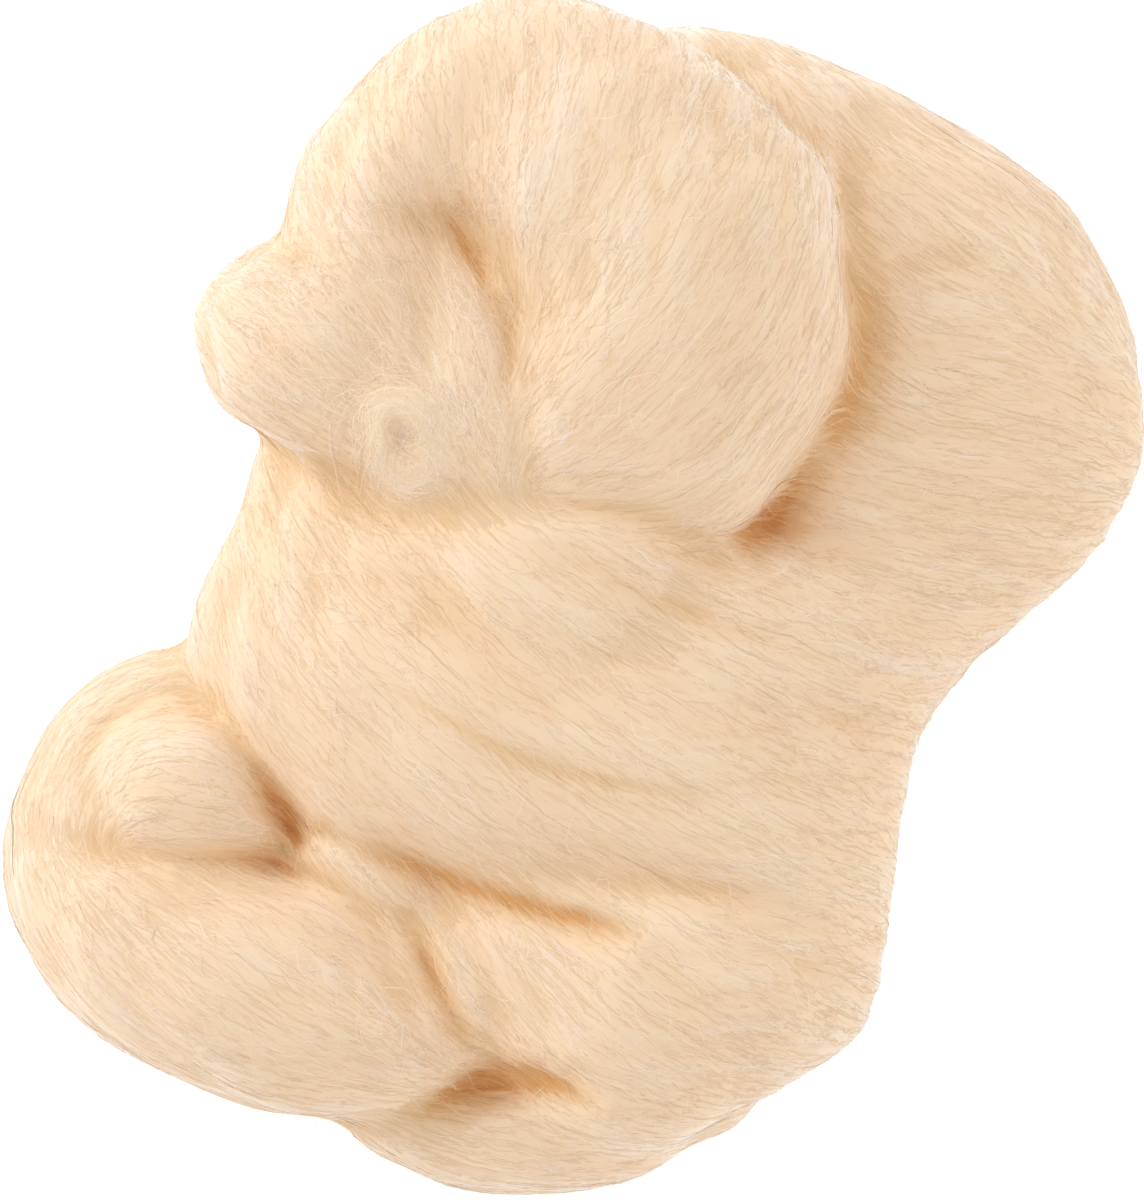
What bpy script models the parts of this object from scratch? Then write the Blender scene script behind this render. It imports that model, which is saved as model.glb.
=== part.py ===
"""A hank of combed wool roving, loosely wound and lying on its back.

The roving is one continuous strand, so the hank is one solid. Each stretch of the strand that shows is a
lobe: a round-edged cushion with its own outline in plan and its own heights. The lobes are merged, softened
and pressed in along the folds between the turns. The underside is cut flat where the hank rests.

Plan axes: +X runs to the right and +Y to the top of the hank as it is seen from above, +Z is up.
"""

from collections import namedtuple

import bmesh
import bpy
import numpy as np
from mathutils import Matrix

MM = 0.001

# Driving dimensions, in millimetres
FULLNESS = 2.15  # exponent of a lobe's upright section: 2 is an ellipse, more is boxier
LOBE_SEGMENTS, LOBE_RINGS = 72, 28  # of the sphere that each lobe starts as
CURVE_STEPS = 8  # points on each span of an outline
FOLD_STEPS = 40  # points on each span of a fold's route
MERGE_VOXEL = 2.0  # grain of the merged wool
SOFTEN_PASSES = 9  # rounds the inner corners where two turns meet
SOLID_TRIANGLES = 8200  # of the finished solid
SWELL = 0.7  # height of the wool's slow unevenness
SWELL_LENGTH = 31.0  # distance over which that unevenness comes back
SAG = 3.0  # how far the lobes would reach below the floor if they were not flattened
FLOOR_SLAB = (400.0, 400.0, 40.0)  # size of the block that cuts the flat spots
FOLD_WINDOW = 20.0  # past this distance a fold presses nothing
STEEP = 0.5  # upward part of the surface's direction below which a fold presses less

# A lobe: its outline in plan, and the heights of its underside, of its widest part and of its crown
Lobe = namedtuple("Lobe", "name centre outline low girth high")

LOBES = [
    Lobe("crown", (14, 56), [
        (-29, 93), (-19, 99), (-9, 101), (0, 101), (8, 98), (16, 95), (26, 88), (34, 81), (41, 73), (45, 63),
        (47, 53), (48, 44), (46, 34), (41, 25), (35, 16), (28, 11), (20, 9), (10, 10), (-2, 12), (-11, 17),
        (-15, 26), (-14, 36), (-13, 46), (-16, 56), (-22, 64), (-29, 71), (-34, 81),
    ], 22, 55, 87),
    Lobe("crown_back", (-22, 77), [
        (-48, 64), (-45, 75), (-37, 85), (-28, 94), (-19, 99), (-6, 99), (8, 90), (8, 74), (-4, 62),
        (-16, 58), (-30, 56), (-43, 56),
    ], 20, 52, 80),
    Lobe("crown_rest", (-4, 60), [
        (-47, 56), (-42, 76), (-25, 92), (-4, 98), (20, 92), (38, 68), (40, 40), (20, 18), (-14, 20),
        (-40, 36),
    ], -SAG, 20, 74),
    Lobe("saddle", (-18, 40), [
        (-34, 28), (-32, 44), (-29, 62), (-18, 70), (-2, 60), (6, 34), (4, 18), (-8, 9), (-22, 12), (-32, 18),
    ], 20, 48, 78),
    Lobe("crown_seat", (2, 8), [
        (-36, 14), (-24, 30), (0, 34), (20, 30), (27, 17), (28, 3), (20, -13), (2, -22), (-20, -16),
        (-34, 0),
    ], 20, 40, 71),
    Lobe("tail", (-36, 48), [
        (-49, 62), (-46, 72), (-38, 80), (-26, 78), (-18, 66), (-13, 56), (-11, 46), (-12, 36), (-14, 28),
        (-20, 22), (-28, 19), (-37, 22), (-46, 25), (-54, 29), (-60, 34), (-62, 41), (-63, 48), (-60, 54),
        (-55, 58),
    ], 18, 48, 79),
    Lobe("fan", (44, 42), [
        (13, 97), (25, 97), (37, 94), (50, 89), (63, 82), (75, 75), (84, 67), (90, 57), (95, 46), (97, 35),
        (96, 22), (91, 12), (85, 4), (78, -2), (71, -8), (64, -14), (52, -22), (36, -22), (20, -10), (5, 8),
        (-2, 34), (0, 68), (6, 88),
    ], -SAG, 27, 60),
    Lobe("waist", (0, -8), [
        (-52, 30), (-57, 15), (-63, 3), (-66, -8), (-64, -20), (-56, -32), (-46, -42), (-29, -49), (-15, -53),
        (0, -55), (22, -59), (45, -63), (51, -60), (54, -50), (56, -37), (58, -26), (63, -16), (68, -9),
        (62, 12), (36, 34), (4, 42), (-26, 45), (-44, 40),
    ], -SAG, 27, 66),
    Lobe("lower_turn", (14, -62), [
        (53, -44), (53, -58), (51, -68), (46, -76), (37, -82), (28, -87), (19, -92), (8, -95), (-5, -93),
        (-14, -84), (-19, -72), (-23, -61), (-28, -51), (-32, -43), (-16, -36), (2, -34), (22, -32),
        (42, -33),
    ], -SAG, 25, 56),
    Lobe("foot", (-4, -84), [
        (-39, -88), (-36, -93), (-29, -97), (-21, -100), (-9, -101), (2, -101), (12, -98), (20, -93),
        (29, -88), (32, -78), (22, -69), (5, -65), (-12, -68), (-28, -75), (-36, -81),
    ], -SAG, 18, 38),
    Lobe("loop_rim", (-72, -35), [
        (-66, -8), (-75, -10), (-84, -15), (-92, -26), (-96, -37), (-97, -48), (-93, -59), (-85, -65),
        (-70, -64), (-54, -56), (-45, -46), (-45, -32), (-50, -22), (-57, -13),
    ], -SAG, 22, 43),
    Lobe("inner_bump", (-64, -31), [
        (-82, -27), (-76, -20), (-67, -16), (-57, -19), (-50, -26), (-45, -37), (-48, -45), (-62, -49),
        (-76, -44), (-82, -36),
    ], 4, 30, 52),
    Lobe("loop_front", (-54, -64), [
        (-96, -42), (-96, -50), (-93, -59), (-87, -68), (-79, -75), (-65, -82), (-51, -87), (-39, -88),
        (-29, -87), (-21, -85), (-14, -80), (-15, -74), (-20, -69), (-23, -60), (-29, -52), (-39, -46),
        (-53, -43), (-68, -41), (-83, -39), (-92, -38),
    ], -SAG, 25, 56),
    Lobe("loop_rest", (-22, -64), [
        (-40, -46), (-14, -42), (-2, -56), (-4, -74), (-16, -84), (-34, -82), (-44, -66),
    ], -SAG, 20, 47),
    Lobe("loop_back", (-37, -45), [
        (-50, -42), (-46, -37), (-36, -37), (-24, -42), (-16, -48), (-22, -54), (-34, -53), (-45, -49),
    ], -SAG, 34, 50),
    Lobe("core", (0, -8), [
        (-46, 40), (-50, 0), (-44, -38), (-20, -60), (20, -66), (44, -50), (50, -10), (54, 30), (30, 56),
        (-10, 60),
    ], -2 * SAG, 24, 50),
]

# A fold pressed between two turns: its route in plan, where along the route it is deepest as a share of
# it, its depth there, and how far its two slopes reach, on the left and on the right of the route. The turn
# on top has the short, steep slope.
Fold = namedtuple("Fold", "name route peak depth left right")

FOLDS = [
    Fold("under_crown", [(47, 42), (45, 33), (41, 24), (37, 17), (32, 11.5), (27, 8.5)], 0.75, 6, 5.0, 2.5),
    Fold("crown_tail", [(-28, 71), (-23, 66), (-19, 61), (-15.5, 56), (-13, 50)], 0.5, 4, 2.5, 2.5),
    Fold("crown_left", [(-14, 53), (-11, 45), (-10.5, 39), (-13, 32)], 0.5, 3, 2.5, 2.5),
    Fold("tail_branch", [(-33, 66), (-27, 64), (-20, 62)], 0.6, 2, 2.5, 2.5),
    Fold("tail_dimple", [(-33, 55), (-33, 44), (-36, 34)], 0.5, 1.5, 5.0, 5.0),
    Fold("tail_foot", [(-54, 27), (-42, 22), (-30, 17), (-17, 18), (-6, 13)], 0.5, 2.5, 2.5, 6.0),
    Fold("fan_waist", [(-2, 9), (10, 2), (30, -6), (48, -11), (60, -16)], 0.4, 2.6, 2.5, 7.0),
    Fold("mid_waist", [(-36, -10), (-22, -17), (-9, -24), (8, -30), (28, -35)], 0.5, 2.4, 2.5, 7.0),
    Fold("under_waist", [(-46, -36), (-38, -41), (-27, -45), (-15, -49.5), (-4, -52.5), (8, -56), (18, -58)],
         0.55, 6, 2.5, 5.5),
    Fold("loop_pocket", [(-60, -20), (-55, -27), (-50.5, -33), (-47, -38.5), (-45.5, -43)], 0.7, 7, 2.5, 4.5),
    Fold("bump_rim", [(-81, -36), (-82, -28), (-77, -20), (-68, -16), (-58, -18)], 0.5, 3, 3.0, 2.5),
    Fold("bump_shadow", [(-82, -40), (-70, -42), (-55, -43.5), (-46, -45), (-38, -48), (-31, -52)],
         0.55, 5, 5.0, 2.5),
    Fold("loop_lower", [(-29, -50), (-26, -57), (-23.5, -63), (-20, -70), (-16, -77)], 0.6, 5, 4.0, 2.5),
    Fold("foot_pocket", [(-30, -87), (-20, -83), (-12, -80), (-2, -81), (6, -85)], 0.5, 6, 2.5, 6.0),
    Fold("fan_valley", [(50, 88), (47, 74), (46, 60)], 0.5, 2.8, 6.0, 4.0),
    Fold("fan_fold", [(48, 54), (62, 57), (80, 57)], 0.4, 1.8, 3.0, 7.0),
    Fold("lower_crease_a", [(8, -54), (16, -62), (23, -72)], 0.5, 2.0, 3.0, 6.0),
    Fold("lower_crease_b", [(28, -57), (42, -63), (55, -69)], 0.5, 1.8, 3.0, 6.0),
]

# The curl at the strand's frayed end, a small ring that lies on the tail
CURL_PLACE = (-27.2, 27.0, 74.2)
CURL_TILT = (0.50, -0.22, 0.0)
CURL_RADIUS, CURL_THICKNESS = 4.9, 4.2

WOOL_COLOUR = (0.90, 0.74, 0.53, 1.0)
WOOL_ROUGHNESS = 0.95


def closed_curve(points):
    """Points along a smooth closed curve through the given ones."""
    knots = np.array(points, float)
    before, after, next_after = np.roll(knots, 1, 0), np.roll(knots, -1, 0), np.roll(knots, -2, 0)
    spans = []
    for t in np.arange(CURVE_STEPS) / CURVE_STEPS:
        spans.append(0.5 * (
            2 * knots
            + (after - before) * t
            + (2 * before - 5 * knots + 4 * after - next_after) * t ** 2
            + (3 * knots - before - 3 * after + next_after) * t ** 3
        ))
    return np.stack(spans, axis=1).reshape(-1, 2)


def outline_radius(lobe, angles):
    """Distance from the lobe's centre to its outline in each of the given directions."""
    curve = closed_curve(lobe.outline) - lobe.centre
    turn = np.arctan2(curve[:, 1], curve[:, 0])
    order = np.argsort(turn)
    return np.interp(angles, turn[order], np.hypot(*curve.T)[order], period=2 * np.pi)


def swell(places):
    """The wool's slow unevenness at each place, between about -1 and 1."""
    x, y, z = (2 * np.pi / SWELL_LENGTH * places).T
    return (np.sin(x + 0.6 * y) * np.sin(0.8 * y - z + 1.0) + np.sin(1.7 * z + 0.9 * x - 0.5 * y)) / 2


def add_lobe(mesh, lobe):
    """A sphere drawn out to the lobe's outline and heights."""
    made = bmesh.ops.create_uvsphere(mesh, u_segments=LOBE_SEGMENTS, v_segments=LOBE_RINGS, radius=1.0)
    balls = np.array([vertex.co for vertex in made["verts"]])
    flat = np.hypot(balls[:, 0], balls[:, 1])
    spread = flat ** (2 / FULLNESS)
    rise = np.sign(balls[:, 2]) * np.abs(balls[:, 2]) ** (2 / FULLNESS)
    angles = np.arctan2(balls[:, 1], balls[:, 0])
    radius = spread * outline_radius(lobe, angles)
    x = lobe.centre[0] + radius * np.cos(angles)
    y = lobe.centre[1] + radius * np.sin(angles)
    z = lobe.girth + np.where(rise > 0, lobe.high - lobe.girth, lobe.girth - lobe.low) * rise
    for vertex, place in zip(made["verts"], np.stack([x, y, z], axis=1)):
        vertex.co = place * MM


def add_curl(collection):
    """The frayed end of the strand as an object of its own, to be merged with the lobes."""
    bpy.ops.mesh.primitive_torus_add(
        location=[value * MM for value in CURL_PLACE],
        rotation=CURL_TILT,
        major_radius=CURL_RADIUS * MM,
        minor_radius=CURL_THICKNESS / 2 * MM,
        major_segments=32,
        minor_segments=14,
    )
    ring = bpy.context.object
    ring.name = "curl"
    for owner in list(ring.users_collection):
        owner.objects.unlink(ring)
    collection.objects.link(ring)
    return ring


def new_object(name, mesh, collection):
    made = bpy.data.objects.new(name, mesh)
    collection.objects.link(made)
    return made


def applied(item):
    """A mesh of its own with the object's modifiers and placement applied."""
    graph = bpy.context.evaluated_depsgraph_get()
    mesh = bpy.data.meshes.new_from_object(item.evaluated_get(graph))
    mesh.transform(item.matrix_world)
    return mesh


def merge_lobes(guides):
    """All lobes and the curl as one soft closed mesh."""
    builder = bmesh.new()
    for lobe in LOBES:
        add_lobe(builder, lobe)
    builder.from_mesh(applied(add_curl(guides)))
    mesh = bpy.data.meshes.new("lobes")
    builder.to_mesh(mesh)
    builder.free()
    merged = new_object("lobes", mesh, guides)
    remesh = merged.modifiers.new("merge", "REMESH")
    remesh.mode = "VOXEL"
    remesh.voxel_size = MERGE_VOXEL * MM
    soften = merged.modifiers.new("soften", "SMOOTH")
    soften.factor = 0.5
    soften.iterations = SOFTEN_PASSES
    return applied(merged)


def drop_hollows(mesh):
    """Removes the walls of hollows left between the turns, and keeps the outer skin."""
    builder = bmesh.new()
    builder.from_mesh(mesh)
    highest = max(builder.verts, key=lambda vertex: vertex.co.z)
    outer, still_to_visit = {highest}, [highest]
    while still_to_visit:
        vertex = still_to_visit.pop()
        for edge in vertex.link_edges:
            neighbour = edge.other_vert(vertex)
            if neighbour not in outer:
                outer.add(neighbour)
                still_to_visit.append(neighbour)
    inner = [vertex for vertex in builder.verts if vertex not in outer]
    bmesh.ops.delete(builder, geom=inner, context="VERTS")
    builder.to_mesh(mesh)
    builder.free()


def open_curve(points):
    """Points along a smooth open curve through the given ones, and the direction of the curve at each."""
    knots = np.array(points, float)
    knots = np.vstack([2 * knots[0] - knots[1], knots, 2 * knots[-1] - knots[-2]])
    spans = []
    for before, start, end, after in zip(knots[:-3], knots[1:-2], knots[2:-1], knots[3:]):
        t = (np.arange(FOLD_STEPS) / FOLD_STEPS)[:, None]
        spans.append(0.5 * (
            2 * start
            + (end - before) * t
            + (2 * before - 5 * start + 4 * end - after) * t ** 2
            + (3 * start - before - 3 * end + after) * t ** 3
        ))
    curve = np.vstack(spans + [knots[-2:-1]])
    heading = np.gradient(curve, axis=0)
    return curve, heading / np.linalg.norm(heading, axis=1)[:, None]


def fold_depth(places, fold):
    """How far the fold presses the wool down at each place."""
    curve, heading = open_curve(fold.route)
    pressed = np.zeros(len(places))
    near = np.flatnonzero(
        np.all(places[:, :2] > curve.min(axis=0) - FOLD_WINDOW, axis=1)
        & np.all(places[:, :2] < curve.max(axis=0) + FOLD_WINDOW, axis=1)
    )
    away = places[near, None, :2] - curve[None]
    closest = np.argmin((away ** 2).sum(axis=2), axis=1)
    away = away[np.arange(len(near)), closest]
    heading = heading[closest]
    on_left = heading[:, 0] * away[:, 1] - heading[:, 1] * away[:, 0] > 0
    reach = np.where(on_left, fold.left, fold.right)
    share = ((closest + 0.5) / len(curve)) ** (np.log(0.5) / np.log(fold.peak))
    fading = np.sin(np.pi * share)
    pressed[near] = fold.depth * fading * np.exp(-(away ** 2).sum(axis=1) / reach ** 2)
    return pressed


def press_folds(mesh):
    """Presses the folds into the upper side, and gives the wool its slow unevenness."""
    count = len(mesh.vertices)
    places, normals = np.empty(count * 3), np.empty(count * 3)
    mesh.vertices.foreach_get("co", places)
    mesh.vertex_normals.foreach_get("vector", normals)
    places, normals = places.reshape(-1, 3) / MM, normals.reshape(-1, 3)
    facing_up = np.clip(normals[:, 2] / STEEP, 0, 1)
    moved = places + normals * (SWELL * swell(places))[:, None]
    deepest = np.max([fold_depth(places, fold) for fold in FOLDS], axis=0)
    moved[:, 2] -= deepest * facing_up
    mesh.vertices.foreach_set("co", (moved * MM).ravel())
    mesh.update()


def floor_cutter(guides):
    """A slab below the floor, wider than the hank."""
    mesh = bpy.data.meshes.new("floor")
    builder = bmesh.new()
    bmesh.ops.create_cube(builder, size=1.0)
    bmesh.ops.scale(builder, vec=[side * MM for side in FLOOR_SLAB], verts=builder.verts)
    bmesh.ops.translate(builder, vec=(0, 0, -FLOOR_SLAB[2] / 2 * MM), verts=builder.verts)
    builder.to_mesh(mesh)
    builder.free()
    return new_object("floor", mesh, guides)


def thin_out_and_flatten(mesh, guides):
    """The same surface with fewer faces, cut flat on the floor and centred over the origin."""
    fine = new_object("fine", mesh, guides)
    mesh.calc_loop_triangles()
    decimate = fine.modifiers.new("thin out", "DECIMATE")
    decimate.ratio = SOLID_TRIANGLES / len(mesh.loop_triangles)
    cut = fine.modifiers.new("flatten", "BOOLEAN")
    cut.operation = "DIFFERENCE"
    cut.object = floor_cutter(guides)
    cut_mesh = applied(fine)
    places = np.array([vertex.co for vertex in cut_mesh.vertices])
    middle = (places.min(axis=0) + places.max(axis=0)) / 2
    cut_mesh.transform(Matrix.Translation((-middle[0], -middle[1], 0)))
    return cut_mesh


def wool_material():
    wool = bpy.data.materials.new("cream wool")
    wool.use_nodes = True
    look = wool.node_tree.nodes["Principled BSDF"]
    look.inputs["Base Color"].default_value = WOOL_COLOUR
    look.inputs["Roughness"].default_value = WOOL_ROUGHNESS
    look.inputs["Metallic"].default_value = 0.0
    return wool


def clear_scene():
    for item in list(bpy.data.objects):
        bpy.data.objects.remove(item, do_unlink=True)


def make_collection(name):
    collection = bpy.data.collections.new(name)
    bpy.context.scene.collection.children.link(collection)
    return collection


def main():
    clear_scene()
    parts, guides = make_collection("wool_roving"), make_collection("guides")
    mesh = merge_lobes(guides)
    drop_hollows(mesh)
    press_folds(mesh)
    mesh = thin_out_and_flatten(mesh, guides)
    mesh.shade_smooth()
    mesh.materials.clear()
    mesh.materials.append(wool_material())
    new_object("roving", mesh, parts)
    for guide in guides.objects:
        guide.hide_render = True
        guide.hide_viewport = True
        guide.display_type = "WIRE"


main()
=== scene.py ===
"""The looks of the wool roving hank: a soft skin of merged lobes, dressed in combed fibres.

The skin repeats the lobes and folds of the solid at a finer grain. A flow of fibre directions is spread over
it from a few guides for each lobe, and thousands of fine ribbons are traced along that flow, with crimp,
stray ends and a curl at the strand's end. Sizes are in millimetres until a mesh is written.
"""

import itertools
from collections import namedtuple

import bmesh
import bpy
import numpy as np
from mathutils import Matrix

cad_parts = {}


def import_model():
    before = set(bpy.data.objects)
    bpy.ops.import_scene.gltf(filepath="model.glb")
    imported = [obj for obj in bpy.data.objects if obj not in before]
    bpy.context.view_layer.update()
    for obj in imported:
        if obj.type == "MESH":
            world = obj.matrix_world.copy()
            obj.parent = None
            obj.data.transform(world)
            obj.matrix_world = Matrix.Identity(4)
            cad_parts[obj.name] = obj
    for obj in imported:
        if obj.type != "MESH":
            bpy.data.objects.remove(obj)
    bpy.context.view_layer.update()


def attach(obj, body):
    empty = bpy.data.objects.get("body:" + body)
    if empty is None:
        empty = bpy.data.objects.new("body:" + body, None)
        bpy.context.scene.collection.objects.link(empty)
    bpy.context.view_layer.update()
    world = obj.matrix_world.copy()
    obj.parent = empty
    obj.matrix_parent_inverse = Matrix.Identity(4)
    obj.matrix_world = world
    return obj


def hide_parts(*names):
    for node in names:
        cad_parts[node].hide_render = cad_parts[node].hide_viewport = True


MM = 0.001
SEED = 7

# The lobes, as in the solid but for the crown's right side, which lies about 2 mm farther in. Each has the
# flow that its fibres follow, its centre and outline in plan, and the heights of its bottom, its widest part
# and its top
FULLNESS = 2.15  # 2 is an ellipsoid, more is fuller
LOBE_SEGMENTS, LOBE_RINGS = 96, 40
CURVE_STEPS = 8  # points between two given ones of an outline
SAG = 3.0  # how far the lobes reach below the floor, before they are flattened onto it
SWELL = 0.7  # height of the wool's slow unevenness
SWELL_LENGTH = 31.0  # distance over which that unevenness comes back

Lobe = namedtuple("Lobe", "name flow centre outline low girth high")

LOBES = [
    Lobe("crown", "crown", (14, 56), [
        (-29, 93), (-19, 99), (-9, 101), (0, 101), (8, 98), (16, 95), (26, 88), (34, 81), (41, 73),
        (44.4, 63), (45.6, 53), (46, 44), (43.8, 34), (38.6, 25.2), (33, 16.8), (27.4, 11.2), (20, 9),
        (10, 10), (-2, 12), (-11, 17), (-15, 26), (-14, 36), (-13, 46), (-16, 56), (-22, 64), (-29, 71),
        (-34, 81),
    ], 22, 55, 87),
    Lobe("crown_back", "crown_back", (-22, 77), [
        (-48, 64), (-45, 75), (-37, 85), (-28, 94), (-19, 99), (-6, 99), (8, 90), (8, 74), (-4, 62),
        (-16, 58), (-30, 56), (-43, 56),
    ], 20, 52, 80),
    Lobe("crown_rest", "body", (-4, 60), [
        (-47, 56), (-42, 76), (-25, 92), (-4, 98), (20, 92), (38, 68), (40, 40), (20, 18), (-14, 20),
        (-40, 36),
    ], -SAG, 20, 74),
    Lobe("saddle", "tail", (-18, 40), [
        (-34, 28), (-32, 44), (-29, 62), (-18, 70), (-2, 60), (6, 34), (4, 18), (-8, 9), (-22, 12), (-32, 18),
    ], 20, 48, 78),
    Lobe("crown_seat", "body", (2, 8), [
        (-36, 14), (-24, 30), (0, 34), (20, 30), (27, 17), (28, 3), (20, -13), (2, -22), (-20, -16),
        (-34, 0),
    ], 20, 40, 71),
    Lobe("tail", "tail", (-36, 48), [
        (-49, 62), (-46, 72), (-38, 80), (-26, 78), (-18, 66), (-13, 56), (-11, 46), (-12, 36), (-14, 28),
        (-20, 22), (-28, 19), (-37, 22), (-46, 25), (-54, 29), (-60, 34), (-62, 41), (-63, 48), (-60, 54),
        (-55, 58),
    ], 18, 48, 79),
    Lobe("fan", "body", (44, 42), [
        (13, 97), (25, 97), (37, 94), (50, 89), (63, 82), (75, 75), (84, 67), (90, 57), (95, 46), (97, 35),
        (96, 22), (91, 12), (85, 4), (78, -2), (71, -8), (64, -14), (52, -22), (36, -22), (20, -10), (5, 8),
        (-2, 34), (0, 68), (6, 88),
    ], -SAG, 27, 60),
    Lobe("waist", "body", (0, -8), [
        (-52, 30), (-57, 15), (-63, 3), (-66, -8), (-64, -20), (-56, -32), (-46, -42), (-29, -49), (-15, -53),
        (0, -55), (22, -59), (45, -63), (51, -60), (54, -50), (56, -37), (58, -26), (63, -16), (68, -9),
        (62, 12), (36, 34), (4, 42), (-26, 45), (-44, 40),
    ], -SAG, 27, 66),
    Lobe("lower_turn", "lower", (14, -62), [
        (53, -44), (53, -58), (51, -68), (46, -76), (37, -82), (28, -87), (19, -92), (8, -95), (-5, -93),
        (-14, -84), (-19, -72), (-23, -61), (-28, -51), (-32, -43), (-16, -36), (2, -34), (22, -32),
        (42, -33),
    ], -SAG, 25, 56),
    Lobe("foot", "foot", (-4, -84), [
        (-39, -88), (-36, -93), (-29, -97), (-21, -100), (-9, -101), (2, -101), (12, -98), (20, -93),
        (29, -88), (32, -78), (22, -69), (5, -65), (-12, -68), (-28, -75), (-36, -81),
    ], -SAG, 18, 38),
    Lobe("loop_rim", "rim", (-72, -35), [
        (-66, -8), (-75, -10), (-84, -15), (-92, -26), (-96, -37), (-97, -48), (-93, -59), (-85, -65),
        (-70, -64), (-54, -56), (-45, -46), (-45, -32), (-50, -22), (-57, -13),
    ], -SAG, 22, 43),
    Lobe("inner_bump", "bump", (-64, -31), [
        (-82, -27), (-76, -20), (-67, -16), (-57, -19), (-50, -26), (-45, -37), (-48, -45), (-62, -49),
        (-76, -44), (-82, -36),
    ], 4, 30, 52),
    Lobe("loop_front", "front", (-54, -64), [
        (-96, -42), (-96, -50), (-93, -59), (-87, -68), (-79, -75), (-65, -82), (-51, -87), (-39, -88),
        (-29, -87), (-21, -85), (-14, -80), (-15, -74), (-20, -69), (-23, -60), (-29, -52), (-39, -46),
        (-53, -43), (-68, -41), (-83, -39), (-92, -38),
    ], -SAG, 25, 56),
    Lobe("loop_rest", "lower", (-22, -64), [
        (-40, -46), (-14, -42), (-2, -56), (-4, -74), (-16, -84), (-34, -82), (-44, -66),
    ], -SAG, 20, 47),
    Lobe("loop_back", "lower", (-37, -45), [
        (-50, -42), (-46, -37), (-36, -37), (-24, -42), (-16, -48), (-22, -54), (-34, -53), (-45, -49),
    ], -SAG, 34, 50),
    Lobe("core", "body", (0, -8), [
        (-46, 40), (-50, 0), (-44, -38), (-20, -60), (20, -66), (44, -50), (50, -10), (54, 30), (30, 56),
        (-10, 60),
    ], -2 * SAG, 24, 50),
]

# The folds: those of the solid, most of them slightly narrower and 0.5 to 1.6 mm shallower, five on moved
# routes, and three slight ones more (crown_side, pocket_line and waist_hollow). Each has its route in plan,
# where along it the fold is deepest as a share of it, its depth there, how far its slopes reach on the left
# and on the right, how much painted shade darkens its wool and how wide that painted shade is
Fold = namedtuple("Fold", "name route peak depth left right shade core")
FOLD_WINDOW = 20.0  # farther from its route than this, a fold has no effect
FOLD_STEPS = 40  # points between two given ones of a route
STEEP = 0.5  # where the skin's upright share is less than this, folds press it less

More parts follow.
